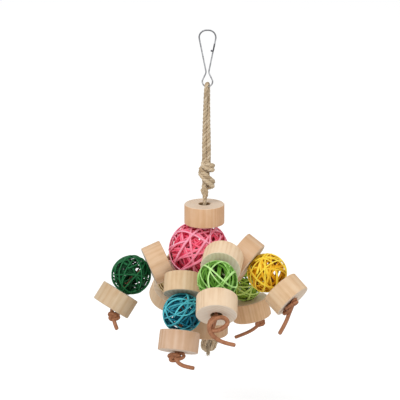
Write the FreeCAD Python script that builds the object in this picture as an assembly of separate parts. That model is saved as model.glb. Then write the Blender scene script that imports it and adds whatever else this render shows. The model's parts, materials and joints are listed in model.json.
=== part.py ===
import FreeCAD, Part
import math
import os

os.makedirs("parts", exist_ok=True)

# Hanging chew toy for a bird. Millimetres, +Z up, origin at the inside crown of the wire hook.
# The hook lies in the XZ plane, and everything else hangs below it on one doubled jute rope.

# Wire hook: one bent wire with an open upper loop that latches on itself and a small eye below
WIRE_D = 1.1
LOOP_WIDTH = 14.0
EYE_WIDTH = 8.7
NECK_WIDTH = 2.9
NECK_DROP = 31.0
EYE_DROP = 41.0
LEG_TOP_DROP = 9.3
LATCH_DROP = 14.2
LATCH_GAP = 0.25
LATCH_HEIGHT = 0.6
LEG_BEHIND_SHARE = 0.48
LATCH_AHEAD_SHARE = 0.8
EYE_CORNER = 2.2
SHOULDER_CORNER = 0.8
NECK_BEND = 5.0
EYE_BEND = 3.7
CROWN_BEND_SHARE = 0.82
LATCH_BENDS = (0.7, 0.9)

# Wooden rings, all turned to one pattern
RING_D = 30.0
RING_T = 15.0
RING_BORE = 8.2
RING_EDGE = 0.5

# Vine balls: hoops of flat vine that cross over each other, with a way through for the cord
BALL_D = 30.0
BALL_HOOP_W = 3.2
BALL_HOOP_T = 2.2
PINK_D = 45.0
PINK_HOOP_W = 4.0
PINK_HOOP_T = 2.6
HOOP_STEP = 0.25

# Cords
JUTE_D = 3.0
JUTE_PAIR = 3.5
LACE_D = 2.8
KNOT_WRAP_D = 3.6
KNOT_RADIUS = 4.2
LACE_KNOT_RADIUS = 3.3
LACE_WRAP_D = 3.0

# How far a cord's rounded corner may pass inside its point, and how far outside a ring its lace may bend
CORNER_CUT = 1.6
MOUTH = 2.2

# Free room between pieces that touch or turn on the real toy
SEAT = 0.3

# Heights of what is strung on the rope
KNOT_TOP = -98.0
KNOT_BOTTOM = -120.5
TOP_RING_TOP = -131.2
BOTTOM_RING_TOP = -219.0
LACE_LEVEL = {"across": -163.5, "fore_and_aft": -169.0, "slanting": -174.5}

# Where the rope stands in plan as it comes down
ROPE_AT_TOP_RING = (-2.2, 0.0)
ROPE_AT_LACES = (-1.5, 0.0)
ROPE_AT_FOOT = (0.8, 0.0)
PINK_SIDE = -4.8
PINK_BACK = 3.5

# The rope's two legs turn about each other as they go down: place in plan, height, turn in degrees
LEGS_ABOVE_KNOT_DEG = [((-0.5, 0.0), -56.0, 24), ((-0.9, 0.0), -77.0, -5), ((-0.9, 0.0), -98.0, 9)]
LEGS_BELOW_KNOT_DEG = [((-1.2, 0.0), -118.0, 70), (ROPE_AT_TOP_RING, -139.0, 96), ((-1.9, 0.0), -153.0, 92)]
LEGS_AT_LACES_DEG = {"across": 90, "fore_and_aft": 32, "slanting": -36}
LEGS_BELOW_LACES_DEG = [((-1.1, 0.0), -183.0, -72), ((0.5, 0.0), -211.0, -88)]
FOOT_TURN_DEG = -92
ROPE_FOOT = 8.0
EYE_RUN = 4.0

# Turns of the rope's knots: share of the knot's height and lean, then drop and lean under the bottom ring
KNOT_IN_PLAN = -0.6
KNOT_TURNS_DEG = [(0.22, 28), (0.5, -26), (0.78, 30)]
END_KNOT_TURNS_DEG = [(0.8, -10), (4.0, 15)]
END_KNOT_SLIMMER = 0.5

# The two turns of a lace's knot: how far out on the arm's line, and the lean
LACE_KNOT_TURNS_DEG = [(0.9, 22), (2.3, -22)]


def heading(azimuth, elevation):
    """Unit vector: azimuth from +X towards +Y, elevation above the horizon, in degrees."""
    a = math.radians(azimuth)
    e = math.radians(elevation)
    return FreeCAD.Vector(math.cos(a) * math.cos(e), math.sin(a) * math.cos(e), math.sin(e))


UP = FreeCAD.Vector(0, 0, 1)
TOP_RING_CENTRE = FreeCAD.Vector(*ROPE_AT_TOP_RING, TOP_RING_TOP - RING_T / 2)
BOTTOM_RING_CENTRE = FreeCAD.Vector(*ROPE_AT_FOOT, BOTTOM_RING_TOP - RING_T / 2)
PINK_CENTRE = FreeCAD.Vector(
    ROPE_AT_LACES[0] + PINK_SIDE,
    ROPE_AT_LACES[1] + PINK_BACK,
    TOP_RING_TOP - RING_T - SEAT - PINK_D / 2,
)

# Each arm leaves the pink ball by one heading, bends at its inner ring and again inside its ball.
# Headings are azimuth and elevation in degrees. stand_off: from the pink ball's surface to the plane of the
# inner ring's near face, below zero where the ring leans so far that its rim stands beside the ball.
# nest: how much deeper the ball's open pole lets it sit in the bores on both sides where the arm is nearly
# straight. tail: the lace beyond the knot.
ARMS = {
    "left": {
        "lace": "across", "leave_deg": (184.5, -16), "inner_deg": (191, -22), "outer_deg": (207.5, -53.5),
        "stand_off": 1.84, "nest": 0.0,
        "tail": [(-66.5, -9.5, -224.0)],
    },
    "right": {
        "lace": "across", "leave_deg": (-16, -1), "inner_deg": (-21, -33.5), "outer_deg": (-33.5, -39),
        "stand_off": 0.0, "nest": 0.5,
        "tail": [(61.5, -29.5, -212.5), (53.4, -27.5, -225.5)],
    },
    "front": {
        "lace": "fore_and_aft", "leave_deg": (-63, 2), "inner_deg": (-100, -19.5), "outer_deg": (-92, -41),
        "stand_off": -2.07, "nest": 0.2,
        "tail": [(7.5, -76.0, -207.0), (21.5, -79.0, -214.5)],
    },
    "back": {
        "lace": "fore_and_aft", "leave_deg": (116.5, -37), "inner_deg": (116, -42.5), "outer_deg": (109, -46.5),
        "stand_off": 1.25, "nest": 0.8,
        "tail": [(-31.0, 68.0, -236.0), (-24.0, 72.0, -246.0)],
    },
    "front_left": {
        "lace": "slanting", "leave_deg": (-114.5, -36), "inner_deg": (-96, -55.5), "outer_deg": (-104.5, -63.5),
        "stand_off": 0.42, "nest": 0.6,
        "tail": [(-21.0, -48.5, -242.0), (-9.5, -49.0, -245.5)],
    },
    "back_right": {
        "lace": "slanting", "leave_deg": (35.5, -32.5), "inner_deg": (34, -45), "outer_deg": (-7, -77),
        "stand_off": 0.94, "nest": 0.0,
        "tail": [(34.0, 27.0, -239.0), (19.0, 27.0, -248.5)],
    },
}

# Hoops by the azimuth and tilt of their axes in degrees. The small ball's leave both its poles open.
BALL_HOOPS_DEG = [(0, 56), (70, 52), (146, 55), (214, 51), (290, 56), (20, 10)]
PINK_HOOPS_DEG = [
    (304, 20), (320, 88), (22, 58), (182, 34), (2, 88), (232, 72), (142, 54), (282, 56), (64, 66),
]

# Seat of a ball against the edge of a ring's bore, measured along the ring's axis
BORE_EDGE = RING_BORE / 2 + RING_EDGE


def seat_depth(ball_d):
    """Distance from a ball's centre to the plane of the bore edge that it rests on."""
    return math.sqrt((ball_d / 2) ** 2 - BORE_EDGE ** 2)


RING_TO_BALL = RING_T / 2 + seat_depth(BALL_D) + SEAT
RING_TO_KNOT = RING_T / 2 + SEAT + LACE_WRAP_D


def corner_points(points, radii):
    """Each inner point of a route as (point, tangent length, radius); no radius given means 0.45 of the
    shorter run divided by the tangent of half the turn."""
    corners = []
    for i in range(1, len(points) - 1):
        into = points[i] - points[i - 1]
        out = points[i + 1] - points[i]
        half = into.getAngle(out) / 2
        shorter = min(into.Length, out.Length)
        radius = radii[i - 1] if radii else 0.45 * shorter / math.tan(half)
        corners.append((points[i], radius * math.tan(half), radius))
    return corners


def route(points, radii):
    """One wire of straight runs joined by tangent arcs."""
    edges = []
    at = points[0]
    for i, (corner, tangent, bend) in enumerate(corner_points(points, radii)):
        into = (corner - points[i]).normalize()
        out = (points[i + 2] - corner).normalize()
        arc_start = corner - into * tangent
        arc_end = corner + out * tangent
        half = into.getAngle(out) / 2
        middle = corner + (out - into).normalize() * (bend / math.cos(half) - bend)
        if (arc_start - at).Length > 1e-4:
            edges.append(Part.LineSegment(at, arc_start).toShape())
        edges.append(Part.Arc(arc_start, middle, arc_end).toShape())
        at = arc_end
    edges.append(Part.LineSegment(at, points[-1]).toShape())
    return Part.Wire(edges)


def tube(points, diameter, radii=None):
    """A round bar or cord along a route."""
    path = route(points, radii)
    first = (points[1] - points[0]).normalize()
    section = Part.Wire([Part.makeCircle(diameter / 2, points[0], first)])
    solid = path.makePipeShell([section], True, False)
    expected = math.pi * diameter ** 2 / 4 * path.Length
    smallest = min(bend for _, _, bend in corner_points(points, radii))
    print("tube %.1f mm thick, %.1f mm long, smallest radius %.1f, volume ratio %.4f"
          % (diameter, path.Length, smallest, solid.Volume / expected))
    return solid


def stand(shape, centre, axis):
    """The shape, made about the origin along +Z, turned to an axis and put at a centre."""
    turned = shape.copy()
    turned.Placement = FreeCAD.Placement(centre, FreeCAD.Rotation(UP, axis))
    return turned


def wooden_ring():
    """A thick turned washer with its outer and bore edges broken."""
    low = -RING_T / 2
    high = RING_T / 2
    bore = RING_BORE / 2
    rim = RING_D / 2
    outline = [
        (bore, low + RING_EDGE), (bore + RING_EDGE, low), (rim - RING_EDGE, low), (rim, low + RING_EDGE),
        (rim, high - RING_EDGE), (rim - RING_EDGE, high), (bore + RING_EDGE, high), (bore, high - RING_EDGE),
    ]
    points = [FreeCAD.Vector(x, 0, z) for x, z in outline]
    face = Part.Face(Part.makePolygon(points + points[:1]))
    return face.revolve(FreeCAD.Vector(0, 0, 0), UP, 360)


def hoop(radius, width, thickness, azimuth, tilt):
    """One turn of flat vine round the ball, as a band with a curved back."""
    outer = Part.makeCylinder(radius, width, FreeCAD.Vector(0, 0, -width / 2))
    inner = Part.makeCylinder(radius - thickness, width, FreeCAD.Vector(0, 0, -width / 2))
    return stand(outer.cut(inner), FreeCAD.Vector(0, 0, 0), heading(azimuth, 90 - tilt))


def vine_ball(diameter, hoops, width, thickness):
    """Hoops of vine crossing over each other, each a little further in than the one before."""
    bands = []
    for turn, (azimuth, tilt) in enumerate(hoops):
        radius = math.sqrt((diameter / 2) ** 2 - (width / 2) ** 2) - HOOP_STEP * (turn % 3)
        bands.append(hoop(radius, width, thickness, azimuth, tilt))
    return bands[0].multiFuse(bands[1:])


def wrap(centre, radius, thickness, axis):
    """One turn of a knot, pulled tight: a round pad with a broken rim. Radius is to the cord's centre line."""
    rim = radius + thickness / 2
    half = thickness / 2
    edge = thickness / 3
    outline = [(0, -half), (rim - edge, -half), (rim, edge - half), (rim, half - edge), (rim - edge, half), (0, half)]
    points = [FreeCAD.Vector(x, 0, z) for x, z in outline]
    face = Part.Face(Part.makePolygon(points + points[:1]))
    return stand(face.revolve(FreeCAD.Vector(0, 0, 0), UP, 360), centre, axis)


def wire_hook():
    """The hook's wire, from the top of its straight leg round the eye and the loop to the latch. The loop's
    right side comes down just in front of the leg, on the same slope, and its end turns in round the leg."""
    side = (LOOP_WIDTH - WIRE_D) / 2
    eye = (EYE_WIDTH - WIRE_D) / 2
    neck = (NECK_WIDTH - WIRE_D) / 2
    crown = WIRE_D / 2
    eye_low = -EYE_DROP - WIRE_D / 2
    shoulder = side + SHOULDER_CORNER
    slope = (shoulder - neck) / (NECK_DROP + crown)
    reach = WIRE_D + LATCH_GAP
    latch = -LATCH_DROP
    latch_x = neck + slope * (NECK_DROP - LATCH_DROP)
    tip = FreeCAD.Vector(latch_x - reach - slope * LATCH_HEIGHT, 0, latch - LATCH_HEIGHT)
    ahead = FreeCAD.Vector(0, -LATCH_AHEAD_SHARE * reach, 0)
    points = [
        FreeCAD.Vector(neck + slope * (NECK_DROP - LEG_TOP_DROP), LEG_BEHIND_SHARE * reach, -LEG_TOP_DROP),
        FreeCAD.Vector(neck, 0, -NECK_DROP),
        FreeCAD.Vector(eye + EYE_CORNER, 0, eye_low),
        FreeCAD.Vector(-eye - EYE_CORNER, 0, eye_low),
        FreeCAD.Vector(-neck, 0, -NECK_DROP),
        FreeCAD.Vector(-shoulder, 0, crown),
        FreeCAD.Vector(shoulder, 0, crown),
        FreeCAD.Vector(latch_x, 0, latch) + ahead,
        tip + ahead,
        tip + FreeCAD.Vector(0, reach, 0),
    ]
    crown_bend = CROWN_BEND_SHARE * side
    radii = [NECK_BEND, EYE_BEND, EYE_BEND, NECK_BEND, crown_bend, crown_bend, *LATCH_BENDS]
    return tube(points, WIRE_D, radii)


def leg_point(centre, height, spread, angle, side):
    """A point of one leg of the doubled rope; the other leg is opposite."""
    a = math.radians(angle)
    return FreeCAD.Vector(
        centre[0] + side * spread * math.cos(a), centre[1] + side * spread * math.sin(a), height
    )


def leg_route(side):
    """One leg from just below the eye to the end knot, passing beside the three laces."""
    pair = JUTE_PAIR / 2
    open_pair = JUTE_D / 2 + LACE_D / 2 + SEAT + CORNER_CUT
    foot = BOTTOM_RING_TOP - RING_T - ROPE_FOOT
    above = LEGS_ABOVE_KNOT_DEG + LEGS_BELOW_KNOT_DEG
    points = [leg_point(plan, height, pair, turn, side) for plan, height, turn in above]
    for level, turn in LEGS_AT_LACES_DEG.items():
        points.append(leg_point(ROPE_AT_LACES, LACE_LEVEL[level], open_pair, turn, side))
    points += [leg_point(plan, height, pair, turn, side) for plan, height, turn in LEGS_BELOW_LACES_DEG]
    points.append(leg_point(ROPE_AT_FOOT, foot, pair, FOOT_TURN_DEG, side))
    return points


def jute_rope():
    """One doubled rope: over the eye's wire, a knot, the stem through everything and the end knot."""
    bend = WIRE_D / 2 + 2 * SEAT + JUTE_D / 2
    eye_z = -EYE_DROP - WIRE_D / 2
    over = [
        FreeCAD.Vector(0, bend, eye_z - EYE_RUN),
        FreeCAD.Vector(0, bend, eye_z + bend),
        FreeCAD.Vector(0, -bend, eye_z + bend),
        FreeCAD.Vector(0, -bend, eye_z - EYE_RUN),
    ]
    down = leg_route(-1)
    points = leg_route(1)[::-1] + over + down
    radii = [r for _, _, r in corner_points(points, None)]
    first_over = len(down)
    radii[first_over] = bend
    radii[first_over + 1] = bend
    cord = tube(points, JUTE_D, radii)
    wraps = []
    for share, lean in KNOT_TURNS_DEG:
        centre = FreeCAD.Vector(KNOT_IN_PLAN, 0, KNOT_TOP - (KNOT_TOP - KNOT_BOTTOM) * share)
        wraps.append(wrap(centre, KNOT_RADIUS, KNOT_WRAP_D, heading(0, 90 - lean)))
    foot = BOTTOM_RING_CENTRE.z - RING_T / 2 - SEAT - KNOT_WRAP_D / 2
    for drop, lean in END_KNOT_TURNS_DEG:
        centre = FreeCAD.Vector(*ROPE_AT_FOOT, foot - drop)
        wraps.append(wrap(centre, KNOT_RADIUS - END_KNOT_SLIMMER, KNOT_WRAP_D - END_KNOT_SLIMMER,
                          heading(0, 90 - lean)))
    return cord.multiFuse(wraps)


def arm_places(name):
    """Where one arm's pieces stand: the way it turns and the centres of its two rings, ball and knot."""
    arm = ARMS[name]
    leave = heading(*arm["leave_deg"])
    inner_axis = heading(*arm["inner_deg"])
    outer_axis = heading(*arm["outer_deg"])
    reach = (PINK_D / 2 + arm["stand_off"] + RING_T / 2) / leave.dot(inner_axis)
    inner = PINK_CENTRE + leave * reach
    ball = inner + inner_axis * (RING_TO_BALL - arm["nest"])
    outer = ball + outer_axis * (RING_TO_BALL - arm["nest"])
    knot = outer + outer_axis * RING_TO_KNOT
    return {
        "inner": inner, "inner_axis": inner_axis, "ball": ball,
        "ball_axis": (inner_axis + outer_axis).normalize(),
        "outer": outer, "outer_axis": outer_axis, "knot": knot,
    }


def half_lace(name):
    """Points of one arm's lace from the pink ball's side of the inner ring out to the tail."""
    place = arm_places(name)
    mouth = place["inner"] - place["inner_axis"] * (RING_T / 2 + MOUTH)
    tail = [FreeCAD.Vector(*p) for p in ARMS[name]["tail"]]
    return [mouth, place["ball"], place["knot"]] + tail


def lace(level, first, second):
    """A leather lace from one arm's tail through the pink ball, between the rope's legs, to the other's."""
    crossing = FreeCAD.Vector(*ROPE_AT_LACES, LACE_LEVEL[level])
    points = half_lace(first)[::-1] + [crossing] + half_lace(second)
    cord = tube(points, LACE_D)
    wraps = []
    for name in (first, second):
        place = arm_places(name)
        side = place["outer_axis"].cross(heading(30, 10)).normalize()
        for out, lean in LACE_KNOT_TURNS_DEG:
            axis = FreeCAD.Rotation(side, lean).multVec(place["outer_axis"])
            wraps.append(wrap(place["knot"] + place["outer_axis"] * out, LACE_KNOT_RADIUS, LACE_WRAP_D, axis))
    return cord.multiFuse(wraps)


def build():
    """Every node by name."""
    ring = wooden_ring()
    ball = vine_ball(BALL_D, BALL_HOOPS_DEG, BALL_HOOP_W, BALL_HOOP_T)
    nodes = {
        "wire_hook": wire_hook(),
        "jute_rope": jute_rope(),
        "top_ring": stand(ring, TOP_RING_CENTRE, UP),
        "pink_ball": stand(vine_ball(PINK_D, PINK_HOOPS_DEG, PINK_HOOP_W, PINK_HOOP_T), PINK_CENTRE, UP),
        "bottom_ring": stand(ring, BOTTOM_RING_CENTRE, UP),
        "lace_across": lace("across", "left", "right"),
        "lace_fore_and_aft": lace("fore_and_aft", "front", "back"),
        "lace_slanting": lace("slanting", "front_left", "back_right"),
    }
    for name in ARMS:
        place = arm_places(name)
        nodes[name + "_inner_ring"] = stand(ring, place["inner"], place["inner_axis"])
        nodes[name + "_ball"] = stand(ball, place["ball"], place["ball_axis"])
        nodes[name + "_outer_ring"] = stand(ring, place["outer"], place["outer_axis"])
    return nodes


for node, shape in build().items():
    print("%-22s volume %8.1f valid %s solids %d" % (node, shape.Volume, shape.isValid(), len(shape.Solids)))
    shape.exportStep("parts/" + node + ".step")
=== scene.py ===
# %% [markdown]
# # A hanging chew toy for a bird
#
# The real toy is a bent wire hook with a doubled jute rope. A wooden ring, a large pink ball of wound vine
# and one more wooden ring are strung on the rope, and six arms leave the pink ball on leather laces. The
# measured solids come in first and stay where they are. Hard pieces keep their shape and only get a finish.
# Wound and twisted pieces are built again here from formulas, because their beauty is in strands that a solid
# leaves out.

# %% Load the measured solids
import json
import math

import bpy
import numpy as np
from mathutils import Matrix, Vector


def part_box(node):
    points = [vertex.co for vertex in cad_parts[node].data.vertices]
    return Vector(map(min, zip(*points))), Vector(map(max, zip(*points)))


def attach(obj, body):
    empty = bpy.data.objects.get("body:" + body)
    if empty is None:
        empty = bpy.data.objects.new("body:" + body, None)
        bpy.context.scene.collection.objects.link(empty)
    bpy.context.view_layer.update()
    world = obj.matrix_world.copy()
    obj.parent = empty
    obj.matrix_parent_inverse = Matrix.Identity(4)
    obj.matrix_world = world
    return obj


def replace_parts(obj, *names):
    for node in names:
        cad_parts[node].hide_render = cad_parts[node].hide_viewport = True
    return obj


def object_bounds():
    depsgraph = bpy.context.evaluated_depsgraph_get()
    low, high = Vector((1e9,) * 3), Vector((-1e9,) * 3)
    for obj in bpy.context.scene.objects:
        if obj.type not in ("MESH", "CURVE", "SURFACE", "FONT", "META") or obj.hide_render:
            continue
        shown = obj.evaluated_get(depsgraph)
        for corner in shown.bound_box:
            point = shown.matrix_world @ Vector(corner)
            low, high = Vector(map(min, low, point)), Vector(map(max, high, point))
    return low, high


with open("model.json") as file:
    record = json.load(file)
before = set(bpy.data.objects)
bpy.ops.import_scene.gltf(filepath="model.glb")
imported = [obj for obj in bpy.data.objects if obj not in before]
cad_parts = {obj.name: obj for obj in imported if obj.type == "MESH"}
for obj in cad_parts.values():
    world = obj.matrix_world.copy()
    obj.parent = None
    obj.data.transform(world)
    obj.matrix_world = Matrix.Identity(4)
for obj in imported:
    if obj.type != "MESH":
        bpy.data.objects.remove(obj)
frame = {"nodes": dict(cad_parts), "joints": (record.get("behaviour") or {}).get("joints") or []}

MM = 0.001
solid_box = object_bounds()
print("solids:", len(frame["nodes"]), "box in mm:", [[round(v / MM, 1) for v in c] for c in solid_box])

# %% [markdown]
# ## The camera
#
# The toy is seen from slightly above, from far enough away that it hardly tapers. One pixel of the picture
# covers a known length at the hook, so the aim follows from where the hook's crown sits in the frame. The
# camera comes first, so that every later choice can be looked at from the right place.

# %% Camera
PIXEL = 0.73 * MM
FRAME_PIXELS = 400
HOOK_PIXEL = (207.5, 31.0)
LOOKING_DOWN = math.radians(16)
CAMERA_AWAY = 1.5
SENSOR = 36.0


def put(name, data):
    """A new object in the scene."""
    made = bpy.data.objects.new(name, data)
    bpy.context.scene.collection.objects.link(made)
    return made


to_camera = Vector((0, -math.cos(LOOKING_DOWN), math.sin(LOOKING_DOWN)))
screen_right = Vector((1, 0, 0))
screen_up = Vector((0, math.sin(LOOKING_DOWN), math.cos(LOOKING_DOWN)))
half_frame = FRAME_PIXELS / 2
aim = PIXEL * ((half_frame - HOOK_PIXEL[0]) * screen_right - (half_frame - HOOK_PIXEL[1]) * screen_up)

camera = put("camera", bpy.data.cameras.new("camera"))
camera.location = aim + CAMERA_AWAY * to_camera
camera.rotation_euler = to_camera.to_track_quat("Z", "Y").to_euler()
camera.data.sensor_width = SENSOR
camera.data.lens = SENSOR * CAMERA_AWAY / (FRAME_PIXELS * PIXEL)
bpy.context.scene.camera = camera
print("lens %.1f mm, aimed at %s" % (camera.data.lens, [round(v, 4) for v in aim]))

# %% [markdown]
# ## Helpers for shapes
#
# Everything flexible on this toy is a long thin thing: a ply of jute, a lace, a vine. So one helper is enough
# for all of them: it sweeps an oval section along a line, all points at once in numpy arrays. Each swept
# piece also carries its own measure of length, its place round the section and a tone, which the finishes
# read.

# %% A smooth line through given points
CURVE_STEPS = 24
SAME_PLACE = 1e-9


def spline_line(points_mm):
    """Points along a NURBS curve of order 3 whose control points are the given points, ends included."""
    data = bpy.data.curves.new("line", "CURVE")
    data.dimensions = "3D"
    data.resolution_u = CURVE_STEPS
    curve = data.splines.new("NURBS")
    curve.points.add(len(points_mm) - 1)
    flat = np.ones((len(points_mm), 4))
    flat[:, :3] = np.array(points_mm) * MM
    curve.points.foreach_set("co", flat.ravel())
    curve.order_u = 3
    curve.use_endpoint_u = True
    holder = bpy.data.objects.new("line", data)
    mesh = bpy.data.meshes.new_from_object(holder)
    line = np.zeros(len(mesh.vertices) * 3)
    mesh.vertices.foreach_get("co", line)
    bpy.data.objects.remove(holder)
    bpy.data.curves.remove(data)
    bpy.data.meshes.remove(mesh)
    return line.reshape(-1, 3)


def lengths_along(line):
    """Distance along a line up to each of its points: the running sum of its steps."""
    return np.concatenate([[0.0], np.cumsum(np.linalg.norm(np.diff(line, axis=0), axis=1))])


def even_line(line, step):
    """The same line with points a fixed distance apart, found by interpolating over its length."""
    at = lengths_along(line)
    keep = np.concatenate([[True], np.diff(at) > SAME_PLACE])
    line, at = line[keep], at[keep]
    new_at = np.linspace(0, at[-1], max(4, int(round(at[-1] / step)) + 1))
    return np.stack([np.interp(new_at, at, line[:, k]) for k in range(3)], axis=1)


# %% [markdown]
# A section is carried along a line on two directions that lie across it. A cord that is free to turn takes
# the directions of the point before, so that it never twists. A flat strand on a ball or a knot faces
# outwards instead.

# %% Directions across a line
def unit(vectors):
    """Vectors divided by their own length."""
    return vectors / np.maximum(np.linalg.norm(vectors, axis=-1, keepdims=True), 1e-12)


def tangents(line):
    """Direction of travel at each point, from the points before and after it."""
    return unit(np.gradient(line, axis=0))


def carried_frame(line, start=(0.3, 1.0, 0.2)):
    """Two directions across a line that don't twist about it: each is the one before it, less the part that
    has come to lie along the line."""
    along = tangents(line)
    across = np.zeros_like(line)
    last = np.array(start, float)
    for i, forward in enumerate(along):
        last = last - forward * last.dot(forward)
        last /= np.linalg.norm(last)
        across[i] = last
    return across, np.cross(along, across)


def frame_about(line, pole):
    """Two directions across a line, the second as near as it can be to a pole (one vector, or one a point)."""
    along = tangents(line)
    side = unit(np.cross(along, np.broadcast_to(pole, line.shape)))
    return side, np.cross(side, along)


# %% [markdown]
# A sweep needs care at its two ends, because a cut lace or vine isn't a hollow pipe. The ring of points at
# each end is closed with one flat face, after a last step in which the section shrinks a little, which gives
# a soft rim.

# %% Sweep an oval section along a line
CUT_RIM = 0.72


def sweep(line, side, up, half_width, half_thickness, sides=8, square=1.0, tone=0.5, depth=1.0):
    """Each ring is line + side*w*cos(a)^p + up*h*sin(a)^p, with p below 1 making the oval squarer. Returns
    corner points, faces and the values that the finish reads."""
    count = len(line)
    angle = np.arange(sides) * 2 * math.pi / sides
    cos_a = np.sign(np.cos(angle)) * np.abs(np.cos(angle)) ** square
    sin_a = np.sign(np.sin(angle)) * np.abs(np.sin(angle)) ** square
    half_w = np.broadcast_to(half_width, (count,)).copy()
    half_t = np.broadcast_to(half_thickness, (count,)).copy()
    half_w[[0, -1]] *= CUT_RIM
    half_t[[0, -1]] *= CUT_RIM
    rings = (line[:, None, :]
             + side[:, None, :] * (half_w[:, None] * cos_a)[:, :, None]
             + up[:, None, :] * (half_t[:, None] * sin_a)[:, :, None])
    here = (np.arange(count - 1)[:, None] * sides + np.arange(sides)).ravel()
    turned = (np.arange(count - 1)[:, None] * sides + (np.arange(sides) + 1) % sides).ravel()
    quads = np.stack([here, here + sides, turned + sides, turned], axis=1)
    caps = [list(range(sides)), list(range(count * sides - 1, (count - 1) * sides - 1, -1))]
    across = np.cross(side, up)
    if np.mean(np.sum(across * tangents(line), axis=1)) < 0:
        quads = quads[:, ::-1]
        caps = [c[::-1] for c in caps]
    values = {
        "along_mm": np.repeat(lengths_along(line) / MM, sides),
        "round": np.tile(angle, count) / (2 * math.pi),
        "tone": np.full(count * sides, float(tone)),
        "depth": np.repeat(np.broadcast_to(depth, (count,)), sides),
    }
    return rings.reshape(-1, 3), quads, caps, values


# %% [markdown]
# A piece is made of many strands, so their sweeps are stacked into one mesh, with the strands' values as its
# attributes, and the piece is told which body it moves with.

# %% One piece from many sweeps
def join_sweeps(name, sweeps, material, body):
    """One object from many sweeps: points are stacked, and face numbers move up by the points before them."""
    points, faces, start = [], [], 0
    for corners, quads, caps, _ in sweeps:
        points.append(corners)
        faces += (quads + start).tolist()
        faces += [[c + start for c in cap] for cap in caps]
        start += len(corners)
    mesh = bpy.data.meshes.new(name)
    mesh.from_pydata(np.concatenate(points).tolist(), [], faces)
    mesh.polygons.foreach_set("use_smooth", np.ones(len(mesh.polygons), bool))
    for key in ("along_mm", "round", "tone", "depth"):
        layer = mesh.attributes.new(key, "FLOAT", "POINT")
        layer.data.foreach_set("value", np.concatenate([s[3][key] for s in sweeps]).astype(np.float32))
    mesh.materials.append(material)
    piece = put(name, mesh)
    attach(piece, body)
    print("%-22s %6d faces" % (name, len(faces)))
    return piece


# %% [markdown]
# ## Helpers for finishes
#
# Colours are written as the sRGB hex values that a picture shows and turned to linear light once, here. One
# small function adds a node, sets it up and links its inputs, so that a finish reads as a list of what it
# does.

# %% Colour and node helpers
def linear(hex_colour):
    """sRGB to linear light: divide by 12.92 below 0.04045, else ((c + 0.055) / 1.055) to the power 2.4."""
    srgb = [int(hex_colour[i:i + 2], 16) / 255 for i in (1, 3, 5)]
    return tuple(c / 12.92 if c <= 0.04045 else ((c + 0.055) / 1.055) ** 2.4 for c in srgb) + (1.0,)


def add(tree, kind, inputs=None, ramp=None, **settings):
    """Adds one node. inputs maps a socket's name or number to a value, to an output of another node, or to
    that node itself for its first output."""
    made = tree.nodes.new(kind)
    for key, value in settings.items():
        setattr(made, key, value)
    for key, value in (inputs or {}).items():
        if isinstance(value, bpy.types.Node):
            value = value.outputs[0]
        if isinstance(value, bpy.types.NodeSocket):
            tree.links.new(value, made.inputs[key])
        else:
            made.inputs[key].default_value = value
    if ramp:
        stops = made.color_ramp.elements
        while len(stops) < len(ramp):
            stops.new(0.5)
        for stop, (position, colour) in zip(stops, ramp):
            stop.position = position
            stop.color = linear(colour) if isinstance(colour, str) else (colour, colour, colour, 1.0)
    return made


def new_finish(name):
    """A material and its emptied node tree, ready for a shader."""
    material = bpy.data.materials.new(name)
    material.use_nodes = True
    material.node_tree.nodes.clear()
    return material, material.node_tree


def weighted_sum(tree, total, shares):
    """A total to start from, plus each pattern's Fac times its share."""
    for part, share in shares:
        total = add(tree, "ShaderNodeMath", {0: part.outputs["Fac"], 1: share, 2: total},
                    operation="MULTIPLY_ADD")
    return total


def finish_with(tree, shader):
    """Links a shader's first output to the material's surface."""
    add(tree, "ShaderNodeOutputMaterial", {"Surface": shader})


# %% [markdown]
# ## Turned wood
#
# The rings are slices of a turned softwood rod, left bare. The grain runs along the rod, so the outside of a
# ring shows faint straight streaks from face to face. Each ring is its own slice, so each gets its own pith,
# tint and streaks, in coordinates that are turned to stand on the ring's own axis.

# %% Grain in the ring's own place
RING_HALF_MM = 7.5
RING_RADIUS_MM = 15.0


def toward(hex_colour, other, share):
    """A colour part of the way from one to another, as hex: c + share*(d - c) on each channel."""
    pairs = [(int(hex_colour[i:i + 2], 16), int(other[i:i + 2], 16)) for i in (1, 3, 5)]
    return "#" + "".join("%02x" % round(c + share * (d - c)) for c, d in pairs)


def ring_space(tree, centre, axis):
    """Coordinates in mm that stand on a ring: the place less the ring's middle, turned to put z on its axis."""
    place = add(tree, "ShaderNodeTexCoord")
    standing = Vector(axis).to_track_quat("Z", "Y").to_euler()
    return add(tree, "ShaderNodeMapping", {"Vector": place.outputs["Object"], "Location": centre,
                                           "Rotation": standing, "Scale": (MM, MM, MM)}, vector_type="TEXTURE")


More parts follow.
